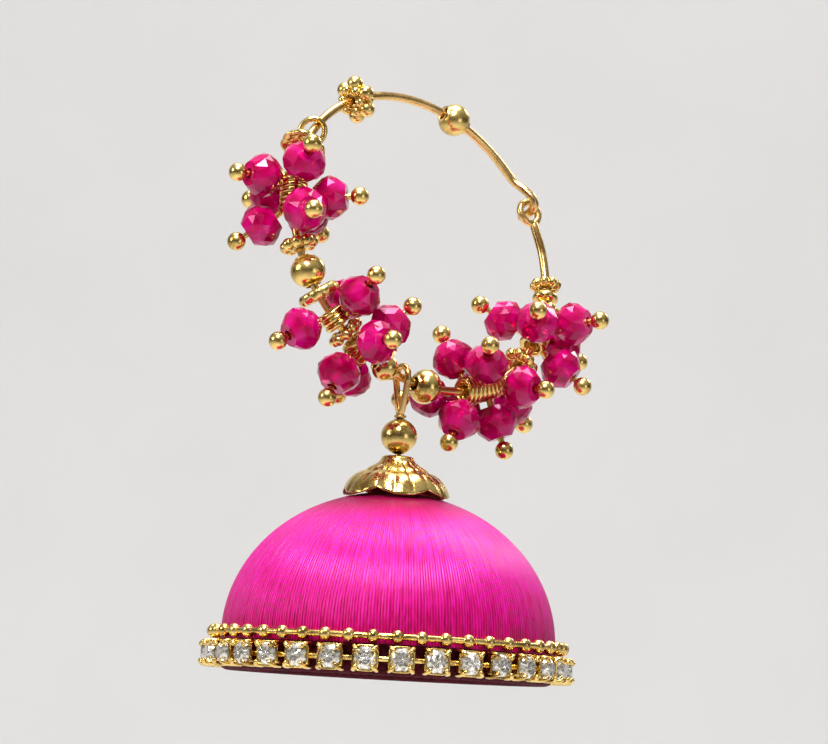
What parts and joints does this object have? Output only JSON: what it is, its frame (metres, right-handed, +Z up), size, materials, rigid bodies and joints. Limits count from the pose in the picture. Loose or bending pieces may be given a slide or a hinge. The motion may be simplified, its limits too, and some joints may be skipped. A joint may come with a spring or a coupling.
{
  "type": "jhumka drop earring",
  "caption": "Jhumka earring: a leaning wire hoop threaded with gold spacers and faceted pink bead clusters, with a silk wound dome drop edged in stones.",
  "frame": {"origin": "top of the hoop wire, where it passes through the ear", "axes": "+Z up along the hanging drop, front of the earring towards -Y, +X to the wearer's view right"},
  "size_m": [0.0409, 0.0345, 0.0551],
  "materials": {
    "gold": "polished gold plate",
    "pink_bead": "faceted deep pink crystal",
    "silk": "glossy silk thread wound in lines",
    "crystal": "clear cut stones in gold cups"
  },
  "bodies": {
    "hoop": {"hoop_wire": "gold", "ear_bead": "gold", "daisy_spacer": "gold", "stop_ring": "gold", "cluster_cap": "gold", "knobbed_spacer_1": "gold", "round_bead_1": "gold", "fluted_disc": "gold", "knobbed_spacer_2": "gold", "small_bead": "gold", "round_bead_2": "gold", "knobbed_spacer_3": "gold", "end_spacer_1": "gold", "end_bead": "gold", "end_spacer_2": "gold", "cluster_1_pins": "gold", "cluster_2_pins": "gold", "cluster_3_pins": "gold", "cluster_4_pins": "gold", "cluster_5_pins": "gold", "pink_bead_1": "pink_bead", "pink_bead_2": "pink_bead", "pink_bead_3": "pink_bead", "pink_bead_4": "pink_bead", "pink_bead_5": "pink_bead", "pink_bead_6": "pink_bead", "pink_bead_7": "pink_bead", "pink_bead_8": "pink_bead", "pink_bead_9": "pink_bead", "pink_bead_10": "pink_bead", "pink_bead_11": "pink_bead", "pink_bead_12": "pink_bead", "pink_bead_13": "pink_bead", "pink_bead_14": "pink_bead", "pink_bead_15": "pink_bead", "pink_bead_16": "pink_bead", "pink_bead_17": "pink_bead", "pink_bead_18": "pink_bead", "pink_bead_19": "pink_bead", "pink_bead_20": "pink_bead", "pink_bead_21": "pink_bead", "pink_bead_22": "pink_bead", "pink_bead_23": "pink_bead", "pink_bead_24": "pink_bead", "pink_bead_25": "pink_bead", "pink_bead_26": "pink_bead", "pink_bead_27": "pink_bead", "pink_bead_28": "pink_bead"},
    "drop": {"drop_eye": "gold", "drop_bead": "gold", "bead_cap": "gold", "silk_dome": "silk", "ball_chain": "gold", "stone_chain": "crystal"}
  },
  "joints": [
    {"name": "drop_swing", "type": "hinge", "parent": "hoop", "child": "drop", "pos_m": [-0.00491, -0.00926, -0.02658], "axis": [0.9409, -0.1114, -0.3199], "range_deg": [-60, 60]}
  ]
}
